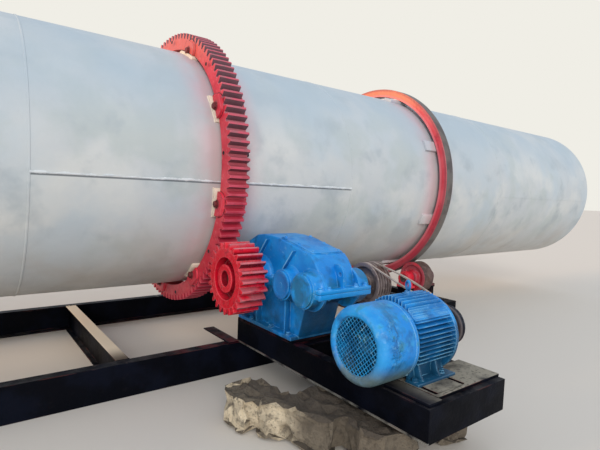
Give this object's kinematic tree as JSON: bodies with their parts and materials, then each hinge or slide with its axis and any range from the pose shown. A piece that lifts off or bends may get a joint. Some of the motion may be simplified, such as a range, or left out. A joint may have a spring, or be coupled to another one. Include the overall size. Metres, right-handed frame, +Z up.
{
  "type": "rotary drum dryer",
  "caption": "Horizontal rotary drum on riding rings and support rollers, turned by a girth gear, pinion, reducer, belt drive and motor.",
  "frame": {"origin": "ground level under the middle of the drum, at the middle of the centre cross member's underside", "axes": "+X along the drum from the left end to the end beyond the drive, +Y away from the drive side, +Z up"},
  "size_m": [20, 4.266, 3.0212],
  "materials": {
    "drum_paint": "sprayed, blotchy",
    "red_paint": "gloss",
    "ring_steel": "worn",
    "bare_steel": "dull",
    "mount_plate": "dull",
    "pad_steel": "dull",
    "frame_paint": "satin",
    "blue_paint": "satin, rubbed",
    "shaft_steel": "oily",
    "pulley_iron": "dull",
    "belt_rubber": "dull",
    "concrete": "broken"
  },
  "bodies": {
    "frame": {"main_beam_near": "frame_paint", "main_beam_far": "frame_paint", "cross_members": "frame_paint", "drive_frame": "frame_paint", "drive_plates": "frame_paint", "support_blocks": "concrete", "reducer_base": "blue_paint", "reducer_cover": "blue_paint", "bearing_caps": "blue_paint", "inspection_cover": "blue_paint", "housing_bolts": "blue_paint", "drive_belts": "belt_rubber", "motor_body": "blue_paint", "fan_cover": "blue_paint", "motor_end_shield": "blue_paint", "lifting_eye": "blue_paint", "roller_bearings_right": "red_paint", "roller_bearings_left": "red_paint", "roller_stands_right": "frame_paint", "roller_stands_left": "frame_paint"},
    "drum": {"drum_shell": "drum_paint", "drum_flights": "bare_steel", "girth_gear": "red_paint", "gear_mounts": "mount_plate", "riding_ring_right": "ring_steel", "riding_ring_left": "ring_steel", "ring_pads_right": "pad_steel", "ring_pads_left": "pad_steel"},
    "pinion_set": {"pinion": "red_paint", "output_shaft": "shaft_steel"},
    "input_set": {"input_shaft": "shaft_steel", "input_pulley": "pulley_iron"},
    "motor_rotor": {"motor_shaft": "shaft_steel", "motor_pulley": "pulley_iron"},
    "roller_set_right_near": {"roller_right_near": "red_paint", "roller_shaft_right_near": "shaft_steel"},
    "roller_set_right_far": {"roller_right_far": "red_paint", "roller_shaft_right_far": "shaft_steel"},
    "roller_set_left_near": {"roller_left_near": "red_paint", "roller_shaft_left_near": "shaft_steel"},
    "roller_set_left_far": {"roller_left_far": "red_paint", "roller_shaft_left_far": "shaft_steel"}
  },
  "joints": [
    {"name": "drum_spin", "type": "hinge", "parent": "frame", "child": "drum", "pos_m": [0, 0, 1.74533], "axis": [1, 0, 0], "continuous": true},
    {"name": "pinion_spin", "type": "hinge", "parent": "frame", "child": "pinion_set", "pos_m": [2.9715, -1.24195, 0.87247], "axis": [1, 0, 0], "continuous": true},
    {"name": "input_spin", "type": "hinge", "parent": "frame", "child": "input_set", "pos_m": [3.806, -1.89195, 0.87247], "axis": [1, 0, 0], "continuous": true},
    {"name": "motor_spin", "type": "hinge", "parent": "frame", "child": "motor_rotor", "pos_m": [3.806, -2.576, 0.7], "axis": [1, 0, 0], "continuous": true},
    {"name": "roller_spin_right_near", "type": "hinge", "parent": "frame", "child": "roller_set_right_near", "pos_m": [5.75, -0.84012, 0.589], "axis": [1, 0, 0], "continuous": true},
    {"name": "roller_spin_right_far", "type": "hinge", "parent": "frame", "child": "roller_set_right_far", "pos_m": [5.75, 0.84012, 0.589], "axis": [1, 0, 0], "continuous": true},
    {"name": "roller_spin_left_near", "type": "hinge", "parent": "frame", "child": "roller_set_left_near", "pos_m": [-5.75, -0.84012, 0.589], "axis": [1, 0, 0], "continuous": true},
    {"name": "roller_spin_left_far", "type": "hinge", "parent": "frame", "child": "roller_set_left_far", "pos_m": [-5.75, 0.84012, 0.589], "axis": [1, 0, 0], "continuous": true}
  ],
  "couplings": [
    {"joint": "pinion_spin", "follows": "drum_spin", "ratio": -4.75},
    {"joint": "input_spin", "follows": "drum_spin", "ratio": -149.62},
    {"joint": "motor_spin", "follows": "drum_spin", "ratio": -184.83},
    {"joint": "roller_spin_right_near", "follows": "drum_spin", "ratio": -6.521},
    {"joint": "roller_spin_right_far", "follows": "drum_spin", "ratio": -6.521},
    {"joint": "roller_spin_left_near", "follows": "drum_spin", "ratio": -6.521},
    {"joint": "roller_spin_left_far", "follows": "drum_spin", "ratio": -6.521}
  ]
}
